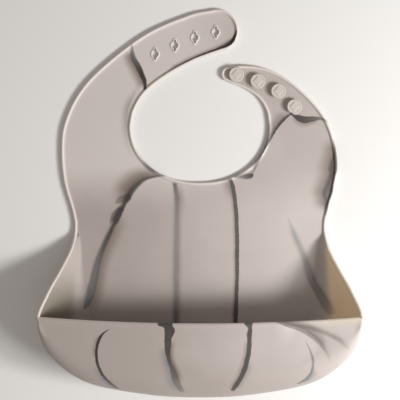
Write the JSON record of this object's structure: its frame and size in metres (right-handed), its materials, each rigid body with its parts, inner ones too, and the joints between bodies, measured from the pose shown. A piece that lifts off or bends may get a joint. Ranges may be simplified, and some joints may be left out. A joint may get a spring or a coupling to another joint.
{
  "type": "silicone bib",
  "caption": "Soft silicone catcher bib with a deep scoop pocket, a round neckline and two curved straps that fasten with studs and slotted holes.",
  "frame": {"origin": "middle of the plan outline, on the flat back of the bib", "axes": "+X across the bib to the stud strap's side, +Y along the bib to the strap ends, +Z out of the front"},
  "size_m": [0.2304, 0.287, 0.047],
  "materials": {
    "panel": "satin",
    "pocket": "satin",
    "strap": "satin",
    "rim": "satin",
    "stud": "satin"
  },
  "bodies": {
    "pocket": {"lower_panel": "panel", "pocket_bend": "pocket", "pocket_front": "pocket", "left_side_wall": "pocket", "right_side_wall": "pocket", "mouth_rim": "rim"},
    "chest": {"chest_panel": "panel"},
    "left_root": {"left_strap_root": "strap"},
    "left_middle": {"left_strap_middle": "strap", "eyelet_3": "rim", "eyelet_4": "rim"},
    "left_tip": {"left_strap_tip": "strap", "eyelet_1": "rim", "eyelet_2": "rim"},
    "right_root": {"right_strap_root": "strap", "stud_4": "stud"},
    "right_middle": {"right_strap_middle": "strap", "stud_2": "stud", "stud_3": "stud"},
    "right_tip": {"right_strap_tip": "strap", "stud_1": "stud"}
  },
  "joints": [
    {"name": "waist_fold", "type": "hinge", "parent": "pocket", "child": "chest", "pos_m": [0, -0.006, 0.0008], "axis": [1, 0, 0], "range_deg": [-45, 110], "stiffness_Nm_per_rad": 0.06},
    {"name": "left_strap_curl", "type": "hinge", "parent": "chest", "child": "left_root", "pos_m": [-0.077, 0.062, 0.0008], "axis": [-0.9816, 0.1908, 0], "range_deg": [-15, 50], "stiffness_Nm_per_rad": 0.02},
    {"name": "left_strap_curl_middle", "type": "hinge", "parent": "left_root", "child": "left_middle", "pos_m": [-0.0565, 0.091, 0.0008], "axis": [-0.829, 0.5592, 0], "range_deg": [-15, 50], "stiffness_Nm_per_rad": 0.02},
    {"name": "left_strap_curl_tip", "type": "hinge", "parent": "left_middle", "child": "left_tip", "pos_m": [-0.0115, 0.1195, 0.0008], "axis": [-0.3584, 0.9336, 0], "range_deg": [-15, 50], "stiffness_Nm_per_rad": 0.02},
    {"name": "right_strap_curl", "type": "hinge", "parent": "chest", "child": "right_root", "pos_m": [0.077, 0.044, 0.0008], "axis": [-0.9945, -0.1045, 0], "range_deg": [-15, 50], "stiffness_Nm_per_rad": 0.02},
    {"name": "right_strap_curl_middle", "type": "hinge", "parent": "right_root", "child": "right_middle", "pos_m": [0.0647, 0.0758, 0.0008], "axis": [-0.6947, -0.7193, 0], "range_deg": [-15, 50], "stiffness_Nm_per_rad": 0.02},
    {"name": "right_strap_curl_tip", "type": "hinge", "parent": "right_middle", "child": "right_tip", "pos_m": [0.0353, 0.0915, 0.0008], "axis": [-0.2924, -0.9563, 0], "range_deg": [-15, 50], "stiffness_Nm_per_rad": 0.02}
  ],
  "couplings": [
    {"joint": "left_strap_curl_middle", "follows": "left_strap_curl", "ratio": 1},
    {"joint": "left_strap_curl_tip", "follows": "left_strap_curl", "ratio": 1},
    {"joint": "right_strap_curl_middle", "follows": "right_strap_curl", "ratio": 1},
    {"joint": "right_strap_curl_tip", "follows": "right_strap_curl", "ratio": 1}
  ]
}
